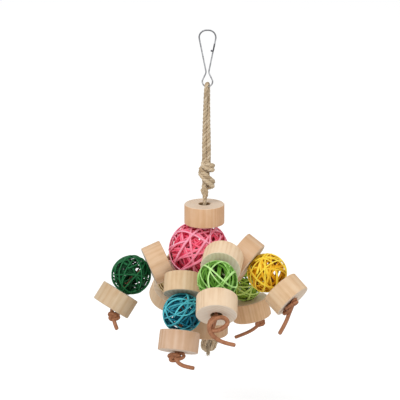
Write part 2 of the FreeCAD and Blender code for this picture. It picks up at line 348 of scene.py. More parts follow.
def wood_grain(tree, local, chance):
    """Growth rings are a sine of the distance from an off-centre pith, bent by noise. Fibres and streaks are
    noise that is stretched twenty times along the axis. Their weighted sum is the shade of the wood."""
    pith = chance.uniform(-1, 1, 2)
    pith = pith / np.linalg.norm(pith) * chance.uniform(9, 30)
    from_pith = add(tree, "ShaderNodeMapping", {"Vector": local, "Location": (pith[0], pith[1], 0),
                                                "Scale": (1, 1, 0.04)})
    # the wave texture repeats every pi/10 of scaled distance, and growth rings here are 2 to 3.4 mm apart
    apart_mm = float(chance.uniform(2.0, 3.4))
    growth = add(tree, "ShaderNodeTexWave", {"Vector": from_pith, "Scale": math.pi / 10 / apart_mm,
                                             "Distortion": 2.4, "Detail": 2.0, "Detail Scale": 0.35,
                                             "Phase Offset": float(chance.uniform(0, 6))},
                 wave_type="RINGS", rings_direction="Z", wave_profile="SIN")
    along = add(tree, "ShaderNodeMapping", {"Vector": local, "Scale": (1, 1, 0.05),
                                            "Location": tuple(chance.uniform(0, 50, 3))})
    # fibres 0.35 mm wide, drawn coarser than real ones so that they show
    fibre = add(tree, "ShaderNodeTexNoise", {"Vector": along, "Scale": 2.8, "Detail": 4.0, "Roughness": 0.6})
    streak = add(tree, "ShaderNodeTexNoise", {"Vector": along, "Scale": 0.30, "Detail": 2.5})
    blotch = add(tree, "ShaderNodeTexNoise", {"Vector": local, "Scale": 0.09, "Detail": 2.0})
    shade = weighted_sum(tree, 0.0, ((growth, 0.09), (fibre, 0.24), (streak, 0.42), (blotch, 0.30)))
    return growth, fibre, blotch, shade


# %% [markdown]
# End grain is cut straight across the fibres. It takes light differently, so it is paler and greyer than the
# sides, with fine pores and arcs of the growth rings. Two of the sawn faces carry painted light: the front left
# inner ring's is painted darker for the shade above the blue ball, and the front inner ring's a little darker
# and greener for light bounced off the light green ball.

# %% Sawn faces
# end grain comes in between these two heights, close under a ring's face, in mm from its middle
SAWN_FROM, SAWN_FULL = RING_HALF_MM - 0.28, RING_HALF_MM - 0.08
END_GRAIN = "#ddd3c6"
# painted shade on the front left inner ring's sawn face, and painted green bounce light with some shade on the
# front inner ring's
SHADE_AND_BOUNCE_ENDS = {"turned_wood_front_left_inner_ring": "#a09781", "turned_wood_front_inner_ring": "#dccdae"}


def sawn_ends(tree, local, growth, blotch, pale):
    """Colour over growth rings, blotches and pores, where a pore is a dark spot at each cell's middle. Returns
    that colour and the pores, which also dent the surface."""
    pores = add(tree, "ShaderNodeTexVoronoi", {"Vector": local, "Scale": 2.6, "Randomness": 1.0})
    pore = add(tree, "ShaderNodeMapRange", {0: pores.outputs["Distance"], 1: 0.08, 2: 0.26, 3: 0.30, 4: 0.0})
    shade = weighted_sum(tree, pore, ((growth, 0.22), (blotch, 0.55)))
    ends = add(tree, "ShaderNodeValToRGB", {0: shade}, ramp=[
        (0.20, toward(pale, "#ffffff", 0.25)), (0.50, pale), (1.0, toward(pale, "#8a6c50", 0.45))])
    return ends, pore


# %% [markdown]
# The whole finish of a ring is four layers: the sides' grain, the sawn faces over it, a bore painted darker
# as painted shade, and corners that handling has rubbed lighter in patches.

# %% Turned wood
# the bore's painted shade and the corners' wear come in between these distances from the axis, in mm
BORE_SHADE_FROM, BORE_SHADE_FULL = 4.9, 4.15
WORN_FROM, WORN_FULL = RING_RADIUS_MM - 0.62, RING_RADIUS_MM - 0.3


def turned_wood(name, centre, axis, seed, tint):
    """Each layer's share is a ramp: over the height along the axis for the sawn faces, over the distance from
    the axis for the bore's painted shade, and over both for the corners."""
    material, tree = new_finish(name)
    local = ring_space(tree, centre, axis)
    growth, fibre, blotch, shade = wood_grain(tree, local, np.random.default_rng(seed))
    sides = add(tree, "ShaderNodeValToRGB", {0: shade}, ramp=[
        (0.38, toward(tint, "#a06a38", 0.23)), (0.55, tint), (0.78, toward(tint, "#fff4e2", 0.31))])
    ends, pore = sawn_ends(tree, local, growth, blotch, SHADE_AND_BOUNCE_ENDS.get(name, toward(tint, END_GRAIN, 0.50)))

    apart = add(tree, "ShaderNodeSeparateXYZ", {0: local})
    height = add(tree, "ShaderNodeMath", {0: apart.outputs["Z"]}, operation="ABSOLUTE")
    flat = add(tree, "ShaderNodeVectorMath", {0: local, 1: (1, 1, 0)}, operation="MULTIPLY")
    reach = add(tree, "ShaderNodeVectorMath", {0: flat}, operation="LENGTH").outputs["Value"]
    sawn, bore, corner = (add(tree, "ShaderNodeMapRange", {0: at, 1: start, 2: full}) for at, start, full in (
        (height, SAWN_FROM, SAWN_FULL), (reach, BORE_SHADE_FROM, BORE_SHADE_FULL), (reach, WORN_FROM, WORN_FULL)))
    edge = add(tree, "ShaderNodeMath", {0: corner, 1: sawn}, operation="MULTIPLY")
    wear_and_shade = add(tree, "ShaderNodeMath", {0: edge, 1: blotch.outputs["Fac"]}, operation="MULTIPLY")
    colour = sides
    # the bore's colour is painted shade; the rubbed corners are lighter wear
    for share, over in ((sawn, ends), (bore, linear("#9a7c57")), (wear_and_shade, linear("#efe2d0"))):
        colour = add(tree, "ShaderNodeMix", {0: share, 6: colour, 7: over}, data_type="RGBA").outputs[2]

    rough = add(tree, "ShaderNodeMapRange", {0: fibre.outputs["Fac"], 1: 0.3, 2: 0.7, 3: 0.60, 4: 0.80})
    relief = add(tree, "ShaderNodeMath", {0: sawn, 1: pore}, operation="MULTIPLY")
    relief = add(tree, "ShaderNodeMath", {0: fibre.outputs["Fac"], 1: relief}, operation="SUBTRACT")
    bump = add(tree, "ShaderNodeBump", {"Strength": 0.25, "Distance": 0.1 * MM, "Height": relief})
    finish_with(tree, add(tree, "ShaderNodeBsdfPrincipled", {
        "Base Color": colour, "Roughness": rough, "IOR": 1.5, "Specular IOR Level": 0.25, "Normal": bump}))
    return material


# %% [markdown]
# No two rings come from the same place in the rod, so each has its own tint and its own seed for the grain.
# The bottom ring's darker tint is partly painted shade, for the shade it hangs in.
# Its middle and axis are those of the joint that it turns on.

# %% Finish the rings
# the bottom ring's darker tint is partly painted shade
WOOD_TINTS = {
    "top_ring": "#dfb48d", "bottom_ring": "#cba683", "left_inner_ring": "#e0bd99", "left_outer_ring": "#ceb493",
    "front_left_inner_ring": "#e2c49e", "front_left_outer_ring": "#d4b194", "front_inner_ring": "#eed2b0",
    "front_outer_ring": "#ebcfae", "right_inner_ring": "#dab48f", "right_outer_ring": "#e4c29c",
    "back_right_inner_ring": "#dab894", "back_right_outer_ring": "#e2ba90", "back_inner_ring": "#dcbd99",
    "back_outer_ring": "#dfc09c",
}
FIRST_SEED = 40
places = {j["name"].removesuffix("_spin"): (Vector(j["pos_m"]), Vector(j["axis"]))
          for j in frame["joints"] if j["name"].endswith("_spin")}
for number, (node, tint) in enumerate(WOOD_TINTS.items()):
    centre, axis = places[node]
    wood = turned_wood("turned_wood_" + node, centre, axis, FIRST_SEED + number, tint)
    solid = frame["nodes"][node].data
    solid.materials.clear()
    solid.materials.append(wood)
print("wooden rings finished:", len(WOOD_TINTS))

# %% [markdown]
# ## Zinc-plated steel wire
#
# The hook is spring wire, drawn through a die and plated. Drawing leaves fine lines along the wire, and
# plating leaves a soft grey with cloudy spots. At the crown and where its end lies against the leg it is
# painted dark grey, as painted shade and dark reflection. Its shape is exact in the solid, so only the finish
# is added.

# %% Steel wire
steel, tree = new_finish("zinc_plated_steel")
place = add(tree, "ShaderNodeTexCoord")
long_marks = add(tree, "ShaderNodeMapping", {"Vector": place.outputs["Object"], "Scale": (5200, 5200, 320)})
# draw lines about 0.2 mm apart
lines = add(tree, "ShaderNodeTexNoise", {"Vector": long_marks, "Scale": 1.0, "Detail": 3.0})
cloud = add(tree, "ShaderNodeTexNoise", {"Vector": place.outputs["Object"], "Scale": 420.0, "Detail": 4.0})
plate = add(tree, "ShaderNodeValToRGB", {0: cloud.outputs["Fac"]},
            ramp=[(0.30, "#8c8c8f"), (0.52, "#b3b4b7"), (0.75, "#cfd0d2")])
# the crown's painted shade fades out below it, and the latch's lies between two heights on the right leg
apart = add(tree, "ShaderNodeSeparateXYZ", {0: place.outputs["Object"]})
crown = add(tree, "ShaderNodeMapRange", {0: apart.outputs["Z"], 1: -8.5 * MM, 2: -2.5 * MM, 4: 0.65})
low_end = add(tree, "ShaderNodeMapRange", {0: apart.outputs["Z"], 1: -16.2 * MM, 2: -15.0 * MM})
high_end = add(tree, "ShaderNodeMapRange", {0: apart.outputs["Z"], 1: -9.8 * MM, 2: -8.8 * MM, 3: 1.0, 4: 0.0})
right_side = add(tree, "ShaderNodeMath", {0: apart.outputs["X"], 1: 0.0}, operation="GREATER_THAN")
latch = low_end
for part in (high_end, right_side):
    latch = add(tree, "ShaderNodeMath", {0: latch, 1: part}, operation="MULTIPLY")
# painted shade and dark reflection: the crown and the latch are painted dark grey over the plating
wear_and_shade = add(tree, "ShaderNodeMath", {0: crown, 1: latch}, operation="MAXIMUM")
shaded_plate = add(tree, "ShaderNodeMix", {0: wear_and_shade, 6: plate, 7: linear("#57585c")}, data_type="RGBA")
rough = add(tree, "ShaderNodeMapRange", {0: lines.outputs["Fac"], 1: 0.3, 2: 0.7, 3: 0.24, 4: 0.44})
bump = add(tree, "ShaderNodeBump", {"Strength": 0.2, "Distance": 0.04 * MM, "Height": lines.outputs["Fac"]})
finish_with(tree, add(tree, "ShaderNodeBsdfPrincipled", {
    "Base Color": shaded_plate.outputs[2], "Metallic": 1.0, "Roughness": rough, "Normal": bump}))
hook = frame["nodes"]["wire_hook"].data
hook.materials.clear()
hook.materials.append(steel)
print("wire hook finished")

# %% [markdown]
# ## Jute, leather and dyed vine
#
# All three are fibres seen along a strand, so they share an idea: noise that is stretched along the strand's
# own length. It reads the length and the place round the section that each sweep carries, and so it follows
# every bend. Jute is coarse, dry and hairy. Leather lace is cut from hide: a smooth reddish brown face with
# paler raw edges. The vine is peeled, dyed in a bath and dried, so it keeps a slight shine and its dye is
# uneven. The turns inside the ball are painted darker, partly for dye that pools there and partly as painted
# shade.

# %% Fibre patterns along a strand
# how far a strand's tone moves it along the noise, so that no two strands show the same fibres
TONE_SHIFT = 37.0


def strand_noise(tree, round_scale, along_scale, detail=3.0):
    """Noise over a cylinder: x and y go once round with the section and z runs with the length in mm."""
    turn, length, tone = (add(tree, "ShaderNodeAttribute", attribute_name=name, attribute_type="GEOMETRY")
                          for name in ("round", "along_mm", "tone"))
    angle = add(tree, "ShaderNodeMath", {0: turn.outputs["Fac"], 1: 2 * math.pi}, operation="MULTIPLY")
    x = add(tree, "ShaderNodeMath", {0: angle}, operation="COSINE")
    y = add(tree, "ShaderNodeMath", {0: angle}, operation="SINE")
    z = add(tree, "ShaderNodeMath", {0: length.outputs["Fac"], 1: along_scale / round_scale},
            operation="MULTIPLY")
    shift = add(tree, "ShaderNodeMath", {0: tone.outputs["Fac"], 1: TONE_SHIFT, 2: z}, operation="MULTIPLY_ADD")
    where = add(tree, "ShaderNodeCombineXYZ", {0: x, 1: y, 2: shift})
    return add(tree, "ShaderNodeTexNoise", {"Vector": where, "Scale": round_scale, "Detail": detail})


# %% [markdown]
# The finish of a strand adds four things up: its own tone, how deep it lies, its fibres and wide patches. How
# deep it lies is painted shade on the inner turns and painted light on the outer ones. A ramp of three colours
# turns the sum into the strand's dark, middle and light.

# %% Finish for strands, and the undyed ones
FIBRE_SHARE = 0.45
PATCH_SHARE = 0.25


def strand_finish(name, ramp, pattern, tone_share, depth_shading_share, rough, relief, sheen=0.0, level=0.5):
    """Colour is a ramp over the sum of tone, depth, fibres and patches, each times its share, where the depth's
    share paints shade inside and light outside; the fibres also set the roughness and the relief."""
    material, tree = new_finish(name)
    fibres = strand_noise(tree, *pattern)
    tone, depth = (add(tree, "ShaderNodeAttribute", attribute_name=name, attribute_type="GEOMETRY")
                   for name in ("tone", "depth"))
    place = add(tree, "ShaderNodeTexCoord")
    patch = add(tree, "ShaderNodeTexNoise", {"Vector": place.outputs["Object"], "Scale": 260.0, "Detail": 2.0})
    # painted shade and light: deeper turns go towards the ramp's dark end, outer turns towards its light end
    value = weighted_sum(tree, 0.0, ((tone, tone_share), (depth, depth_shading_share), (fibres, FIBRE_SHARE),
                                     (patch, PATCH_SHARE)))
    colour = add(tree, "ShaderNodeValToRGB", {0: value}, ramp=ramp)
    dull = add(tree, "ShaderNodeMapRange", {0: fibres.outputs["Fac"], 1: 0.3, 2: 0.7, 3: rough[0], 4: rough[1]})
    bump = add(tree, "ShaderNodeBump", {"Strength": relief, "Distance": 0.2 * MM,
                                        "Height": fibres.outputs["Fac"]})
    finish_with(tree, add(tree, "ShaderNodeBsdfPrincipled", {
        "Base Color": colour, "Roughness": dull, "IOR": 1.5, "Specular IOR Level": level,
        "Sheen Weight": sheen, "Sheen Roughness": 0.5, "Normal": bump}))
    return material


jute = strand_finish("twisted_jute", [(0.28, "#967c5c"), (0.50, "#ceb898"), (0.80, "#efe3d0")],
                     (3.2, 0.35), 0.25, 0.0, (0.80, 0.95), 0.8, sheen=0.2, level=0.12)
leather = strand_finish("cut_leather_lace", [(0.28, "#70452c"), (0.52, "#ab7250"), (0.82, "#d0a486")],
                        (2.4, 0.8), 0.30, 0.0, (0.50, 0.72), 0.45, level=0.3)
print("undyed finishes:", jute.name, leather.name)

# %% [markdown]
# ## The doubled jute rope
#
# One rope is passed over the eye of the hook, and its two legs run down side by side, through a knot and
# everything else to an end knot. Laid rope is three plies that wind round each other. A smooth curve through
# the route's given points is the rope's middle, and each ply is a helix about it.

# %% Rope route
ROPE_ROUTE = [
    (0.7, -1.7, -242.0), (0.6, -1.7, -211.0), (-0.6, -1.7, -183.0), (2.4, -2.8, -174.5), (2.6, 2.5, -169.0),
    (-1.5, 4.8, -163.5), (-2.0, 1.7, -153.0), (-2.4, 1.7, -139.0), (-1.0, 1.5, -118.0), (1.0, 0.3, -98.0),
    (0.7, -0.2, -77.0), (0.5, 0.7, -56.0), (0.6, 2.4, -46.5), (0.5, 2.65, -39.4), (-0.8, -2.65, -39.4),
    (-1.3, -2.5, -46.5), (-1.6, -0.8, -56.0), (-2.2, 0.2, -77.0), (-2.3, -0.3, -98.0), (-2.2, -1.5, -118.0),
    (-2.0, -1.7, -139.0), (-1.8, -1.7, -153.0), (-1.5, -4.8, -163.5), (-5.6, -2.5, -169.0), (-5.4, 2.8, -174.5),
    (-1.6, 1.7, -183.0), (0.4, 1.7, -211.0), (0.9, 1.7, -242.0),
]
rope_line = even_line(spline_line(ROPE_ROUTE), 0.75 * MM)
rope_side, rope_up = carried_frame(rope_line)
print("rope length %.1f mm" % (lengths_along(rope_line)[-1] / MM))

# %% [markdown]
# The rope is drawn thin where it is pulled through the rings and the pink ball. Above its knot it is slack
# and thicker, most of all just over the knot, and it is thinner again where it bends over the wire.

# %% Laid plies
PLIES = 3
PLY_PITCH_MM = 9.5
# radius in the rings, and what is added above the knot, over the knot and at the wire, in mm
STEM_RADIUS, SLACK, FULL, AT_WIRE = 1.42, 0.34, 0.22, -0.14
# where those changes are centred, in mm below the hook's crown
KNOT_FOOT, KNOT_HEAD, WIRE_DROP = 126, 96, 39


def laid_plies(line, side, up, rope_radius_mm, pitch_mm, tone=0.5):
    """Each ply's middle is line + r*(cos f*side + sin f*up), where f turns once for each pitch of length."""
    ply_radius = 0.54 * rope_radius_mm * MM * np.ones(len(line))
    offset = rope_radius_mm * MM - ply_radius
    turned = 2 * math.pi * lengths_along(line) / (pitch_mm * MM)
    swept = []
    for ply in range(PLIES):
        angle = turned + 2 * math.pi * ply / PLIES
        outwards = side * np.cos(angle)[:, None] + up * np.sin(angle)[:, None]
        middle = line + outwards * offset[:, None]
        ply_side, ply_up = frame_about(middle, outwards)
        swept.append(sweep(middle, ply_side, ply_up, ply_radius, ply_radius * 0.94, sides=7,
                           tone=tone + 0.22 * (ply - 1)))
    return swept


drop_mm = -rope_line[:, 2] / MM
rope_radius = (STEM_RADIUS + SLACK / (1 + np.exp((drop_mm - KNOT_FOOT) / 2.0))
               + AT_WIRE * np.exp(-((drop_mm - WIRE_DROP) / 16.0) ** 2)
               + FULL * np.exp(-((drop_mm - KNOT_HEAD) / 22.0) ** 4))
rope = join_sweeps("rope_plies", laid_plies(rope_line, rope_side, rope_up, rope_radius, PLY_PITCH_MM),
                   jute, "toy")
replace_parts(rope, "jute_rope")
print("rope %.1f to %.1f mm thick" % (2 * rope_radius.min(), 2 * rope_radius.max()))

# %% [markdown]
# ## The rope's knots
#
# Both knots are tied in the two legs at once, so every turn of them is a flat pair of cords. The line of each
# is drawn through listed points: the upper knot shows one lobe at the upper right, one at the left and a band
# that comes down across the front. The pair lies flat on the knot, side by side across its own line.

# %% Knots tied in both legs
KNOT_PITCH_MM = 7.5
MAIN_KNOT = [
    (-0.9, 0.0, -97.5), (-3.0, -1.8, -100.6), (0.4, -4.0, -101.4), (4.9, -1.0, -103.2), (1.4, 3.4, -104.6),
    (-3.4, 2.4, -104.6), (-5.6, -1.0, -105.9), (-3.0, -3.9, -108.0), (0.7, -3.9, -111.8), (4.7, -1.4, -115.4),
    (2.6, 2.5, -117.2), (-1.6, 2.4, -118.2), (-3.3, -0.8, -119.2), (-1.7, -1.4, -121.4), (-1.9, 0.0, -124.5),
]
END_KNOT = [
    (0.8, 0.0, -234.0), (-1.0, -2.6, -236.7), (-2.9, -3.5, -240.8), (-2.7, -3.1, -245.3), (-0.4, -0.9, -247.2),
    (1.6, 2.2, -243.6), (2.9, 1.6, -238.4), (4.6, -1.6, -237.3), (5.6, -3.3, -241.0), (4.5, -3.1, -244.6),
    (2.0, -1.0, -246.6), (1.2, 0.6, -244.0),
]


def rope_knot(name, points_mm, middle_mm, cord_radius_mm, apart_mm):
    """Two laid cords at line +/- s*side, where side lies across the line and square to the way out of the
    knot's upright axis."""
    line = even_line(spline_line(points_mm), 0.5 * MM)
    out = line - np.array([middle_mm[0], middle_mm[1], 0]) * MM
    out[:, 2] = 0
    side, up = frame_about(line, unit(out + np.array([0, -0.0004, 0])))
    swept = []
    for number, way in enumerate((-0.5, 0.5)):
        cord = line + side * way * apart_mm * MM
        cord_side, cord_up = frame_about(cord, up)
        swept += laid_plies(cord, cord_side, cord_up, cord_radius_mm, KNOT_PITCH_MM,
                            tone=0.40 + 0.22 * number)
    return join_sweeps(name, swept, jute, "toy")


main_knot = rope_knot("main_knot", MAIN_KNOT, (-0.6, 0.0), 1.9, 3.0)
end_knot = rope_knot("end_knot", END_KNOT, (1.2, 0.0), 1.5, 2.6)

# %% [markdown]
# Loose fibres stand off jute all along its length. Each fibre is a bent sliver with three sides, so hundreds
# of them cost little.

# %% Loose fibres
FUZZ = 420
FUZZ_RADIUS_MM = 0.05


def slivers(roots, directions, lengths_mm, radius_mm, chance, bend=0.35):
    """Each fibre is a short bent line: root + direction*s + bend*s*s, in five points."""
    steps = np.linspace(0, 1, 5)
    swept = []
    bends = chance.normal(0, bend, (len(roots), 3))
    for root, direction, length, curl, tone in zip(roots, directions, lengths_mm, bends,
                                                   chance.uniform(0.3, 0.95, len(roots))):
        line = root + (direction * steps[:, None] + curl * (steps ** 2)[:, None]) * length * MM
        side, up = frame_about(line, np.array([0.31, 0.74, 0.59]))
        taper = radius_mm * MM * (1 - 0.65 * steps)
        swept.append(sweep(line, side, up, taper, taper, sides=3, tone=tone))
    return swept


chance = np.random.default_rng(7)
picks = chance.integers(8, len(rope_line) - 8, FUZZ)
outwards = unit(rope_side[picks] * chance.normal(0, 1, (FUZZ, 1))
                + rope_up[picks] * chance.normal(0, 1, (FUZZ, 1)))
leaning = unit(outwards * 0.55 + tangents(rope_line)[picks] * chance.choice([-1, 1], (FUZZ, 1)))
fuzz = join_sweeps("rope_fibres", slivers(rope_line[picks] + outwards * 1.3 * MM, leaning,
                                          chance.uniform(1.2, 3.2, FUZZ), FUZZ_RADIUS_MM, chance),
                   jute, "toy")

# %% [markdown]
# The rope is cut at the end knot, and its plies open into short tufts: one under the knot, one out to the
# right, and one that lies down the knot's front.

# %% Frayed ends
TUFT_FIBRES = 90
TUFT_RADIUS_MM = 0.2
# where each tuft starts and ends in mm, and how far its ends spread
TUFTS = [
    ((0.5, -1.8, -246.2), (0.7, -2.2, -250.9), 0.9), ((5.6, -1.0, -236.6), (8.0, -1.2, -240.6), 0.8),
    ((1.7, -3.4, -237.4), (1.0, -3.8, -247.6), 0.8),
]
tufts = []
for start, end, spread in TUFTS:
    roots = chance.normal(start, (0.75, 0.75, 0.5), (TUFT_FIBRES, 3)) * MM
    ways = chance.normal(end, spread, (TUFT_FIBRES, 3)) * MM - roots
    lengths_mm = np.linalg.norm(ways, axis=1) / MM * chance.uniform(0.7, 1.05, TUFT_FIBRES)
    tufts += slivers(roots, unit(ways), lengths_mm, TUFT_RADIUS_MM, chance, bend=0.08)
brush = join_sweeps("rope_ends", tufts, jute, "toy")

# %% [markdown]
# The rope, its knots, its loose fibres and its frayed ends are separate pieces of the same jute, and all move
# with the toy.

# %% [markdown]
# ## Leather laces
#
# Three laces carry the six arms. Each goes in one arm's tail, through both rings and the small ball, straight
# through the pink ball between the rope's legs, and out along the opposite arm. Lace is cut from flat hide,
# so its section is a squarish oval, and it doesn't twist on its own: its frame is carried along the line.

# %% Lace routes
LACES = {
    "lace_across": [
        (-67.9, -14.6, -225.8), (-69.9, -13.8, -220.6), (-70.8, -12.2, -215.9), (-72.6, -10.8, -209.4),
        (-57.3, -2.8, -186.1), (-28.3, 2.8, -174.2), (-1.5, 0.0, -163.5), (20.5, -3.4, -164.3),
        (44.8, -12.8, -181.5), (64.4, -26.2, -200.4), (61.0, -31.6, -206.2), (58.4, -31.8, -214.2),
        (53.7, -30.6, -223.5)],
    "lace_fore_and_aft": [
        (20.1, -78.9, -214.8), (12.0, -79.2, -213.0), (5.7, -79.0, -209.6), (2.3, -78.2, -205.2),
        (6.4, -73.6, -195.6), (7.2, -50.4, -175.0), (12.4, -21.1, -164.4), (-1.5, 0.0, -169.0),
        (-14.4, 19.5, -181.3), (-24.4, 40.0, -202.3), (-31.6, 60.9, -225.5), (-31.0, 68.0, -236.0),
        (-24.0, 72.0, -246.0)],
    "lace_slanting": [
        (-9.6, -50.4, -243.3), (-16.6, -50.6, -241.9), (-21.4, -50.0, -239.6), (-24.0, -48.2, -235.4),
        (-21.9, -45.5, -231.6), (-18.7, -33.0, -206.2), (-16.8, -15.4, -180.5), (-1.5, 0.0, -174.5),
        (9.8, 15.2, -179.2), (28.4, 27.8, -201.6), (35.3, 26.9, -231.2), (40.6, 25.3, -233.6),
        (38.6, 24.0, -237.2), (31.3, 22.4, -241.6), (21.4, 22.6, -245.4)],
}
lace_lines = {name: even_line(spline_line(points), 0.8 * MM) for name, points in LACES.items()}
for name, line in lace_lines.items():
    print("%-18s %.1f mm" % (name, lengths_along(line)[-1] / MM))

# %% [markdown]
# Each end of a lace is stopped by an overhand knot against the outer ring. An overhand knot pulled tight is a
# trefoil: one line that goes twice round and in and out three times, so that it shows three lobes. The knots
# lie at different angles, as they happened to be pulled tight, and the one on the right is drawn out long
# across its ring. On the front arm the knot is loose, and an open loop of lace stands in front of the ring.

# %% Lace knots
# half the width and half the thickness of the lace where it is pulled into a knot, in mm
KNOT_HALF_MM = (1.35, 1.15)


def trefoil(centre_mm, ring_mm, rise_mm, stretch, first_lobe, across, upright):
    """In the knot's plane the radius is ring*(2 + cos 3t) while the angle goes twice round, and the line rises
    and falls across the plane as sin 3t. stretch lengthens it upright, and first_lobe turns it, in degrees."""
    t = np.linspace(0, 2 * math.pi, 180)
    radius = ring_mm * (2 + np.cos(3 * t))
    angle = 2 * t + math.radians(first_lobe)
    x = radius * np.cos(angle)
    z = radius * np.sin(angle) * stretch
    y = rise_mm * np.sin(3 * t)
    across = unit(np.array(across, float))
    upright = unit(np.array(upright, float) - across * np.dot(across, upright))
    facing = np.cross(upright, across)
    local = x[:, None] * across + z[:, None] * upright + y[:, None] * facing
    return (np.array(centre_mm) + local) * MM, facing


def lace_knot(name, *shape):
    """The trefoil, swept with the lace's own oval."""
    line, facing = trefoil(*shape)
    line = even_line(line, 0.5 * MM)
    side, up = frame_about(line, facing)
    swept = sweep(line, side, up, KNOT_HALF_MM[0] * MM, KNOT_HALF_MM[1] * MM, sides=10, square=0.8, tone=0.45)
    return join_sweeps(name, [swept], leather, "toy")


# each knot: middle in mm, ring and rise in mm, stretch, first lobe in degrees, and its two directions
KNOT_BEYOND_MM = 10.9
back_centre, back_axis = places["back_outer_ring"]
back_middle = np.array(back_centre + back_axis * KNOT_BEYOND_MM * MM) / MM
knots = {
    "lace_across": [
        lace_knot("left_knot", (-70.5, -12.2, -216.0), 1.28, 1.3, 0.74, 20, (1, 0, -0.25), (0.25, 0, 1)),
        lace_knot("right_knot", (61.9, -32.2, -201.2), 1.05, 1.3, 2.7, 35, (-0.41, -0.90, -0.12),
                  (0.624, -0.173, 0.762))],
    "lace_fore_and_aft": [
        lace_knot("back_knot", back_middle, 1.05, 1.15, 1.1, 40, (1, 0.2, 0), (0, 0.2, 1))],
    "lace_slanting": [
        lace_knot("front_left_knot", (-23.2, -47.8, -235.2), 0.98, 1.35, 2.05, 80, (-0.15, 0, 1), (1, 0, 0.15)),
        lace_knot("back_right_knot", (40.7, 25.2, -233.9), 1.05, 1.2, 0.9, 0, (1, 0, 0.1), (-0.1, 0, 1))],
}

# %% [markdown]
# The open loop on the front arm is its own short line: out of the bore, once round to the right and over
# itself on the left, and down into the tail.

# %% The front arm's open loop
LOOP_HALF_MM = (1.4, 1.75)
FRONT_LOOP = [
    (6.5, -73.0, -195.0), (2.9, -75.6, -196.1), (0.9, -77.8, -199.6), (2.1, -80.0, -202.9),
    (6.5, -80.7, -203.2), (11.8, -79.6, -201.2), (15.0, -77.8, -198.2), (12.9, -77.2, -194.6),
    (8.0, -78.6, -193.4), (3.2, -81.0, -195.6), (0.7, -82.2, -199.8), (2.0, -81.4, -204.8),
    (5.0, -80.0, -208.6),
]
loop_line = even_line(spline_line(FRONT_LOOP), 0.5 * MM)
loop_side, loop_up = carried_frame(loop_line, (0, -1, 0))
loop = sweep(loop_line, loop_side, loop_up, LOOP_HALF_MM[0] * MM, LOOP_HALF_MM[1] * MM, sides=10, square=0.8)
knots["lace_fore_and_aft"].append(join_sweeps("front_loop", [loop], leather, "toy"))

# %% [markdown]
# Now the laces themselves. Each is one swept cord, and its knots are pieces of their own. It leaves the toy at
# the outer face of one of its two outer rings, where its tail begins.

# %% Laces
# half the width and half the thickness of what is drawn, in mm
LACE_HALF_MM = (1.5, 1.32)
LACE_EXITS = {"lace_across": "left", "lace_fore_and_aft": "front", "lace_slanting": "front_left"}
for name, line in lace_lines.items():
    side, up = carried_frame(line, (0.2, 0.3, 1.0))
    swept = sweep(line, side, up, LACE_HALF_MM[0] * MM, LACE_HALF_MM[1] * MM, sides=12, square=0.8, tone=0.55)
    piece = join_sweeps(name + "_leather", [swept], leather, "toy")
    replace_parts(piece, name)
    centre, axis = places[LACE_EXITS[name] + "_outer_ring"]

# %% [markdown]
# ## Wound vine balls
#
# A vine ball is made by winding lengths of soaked vine over themselves until they hold. Any turn is nearly a
# great circle. If the circle leans on an axis, and the lean wanders and turns a little on each round, one
# vine covers the ball with crossing turns. Vines that start about different axes give the tangle, and the
# winder often lays two or three side by side. The radius dips and rises, since a stiff vine runs straight
# between the ones that it rides over, and each end tucks in or stands off as a short stub.

# %% One wound vine
def wound_vine(turns, lean, swing, precess, chance, steps):
    """Unit circle (cos t, sin t) leaned by L about x, then turned by A about the pole, where L = lean +
    swing*(sin 0.37t + 0.6 sin 0.83t) and A = precess*t plus a small wander."""
    t = np.linspace(0, turns * 2 * math.pi, steps)
    first, second, third, fourth = chance.uniform(0, 6.28, 4)
    leaned = np.radians(lean + swing * (np.sin(0.37 * t + first) + 0.6 * np.sin(0.83 * t + second)))
    turned = fourth * 3 + math.radians(precess) / (2 * math.pi) * t + 0.12 * np.sin(0.61 * t + third)
    x, y, z = np.cos(t), np.sin(t) * np.cos(leaned), np.sin(t) * np.sin(leaned)
    return np.stack([np.cos(turned) * x - np.sin(turned) * y,
                     np.sin(turned) * x + np.cos(turned) * y, z], axis=1)


def any_turn(chance):
    """A random rotation: three random directions made square to each other."""
    square, _ = np.linalg.qr(chance.normal(0, 1, (3, 3)))
    return square


def ride_over(t, chance):
    """How far a stiff vine dips between the ones it rides over: 0.3*(1 - cos(kt + a)) plus
    0.2*(1 - cos(1.73kt + b))."""
    first, second, waves = chance.uniform(0, 6.28), chance.uniform(0, 6.28), chance.uniform(1.7, 2.9)
    return 0.3 * (1 - np.cos(waves * t + first)) + 0.2 * (1 - np.cos(1.73 * waves * t + second))


def laid_beside(ways, t, shift, chance):
    """Moves a vine sideways over the ball: way + (way x travel)*shift*(1 + 0.35*sin(0.9t + a)), made unit."""
    drift = shift * (1 + 0.35 * np.sin(0.9 * t + chance.uniform(0, 6.28)))
    return unit(ways + np.cross(unit(ways), tangents(ways)) * drift[:, None])


# %% [markdown]
# Where a lace or the rope goes through the shell, the turns are pushed aside to let it pass. A ring that
# stands against the ball flattens the turns under its rim a little, as on the real toy, so no turn goes past
# the near face of a ring.

# %% Room for cords and rings
def crossings(centre, radius_mm, lines):
    """Directions from a ball's centre in which the cords go through its shell."""
    found = []
    for line in lines:
        off = line - centre
        inside = np.linalg.norm(off, axis=1) < radius_mm * MM
        for i in np.nonzero(np.diff(inside.astype(int)))[0]:
            found.append(unit(off[i]))
    return found


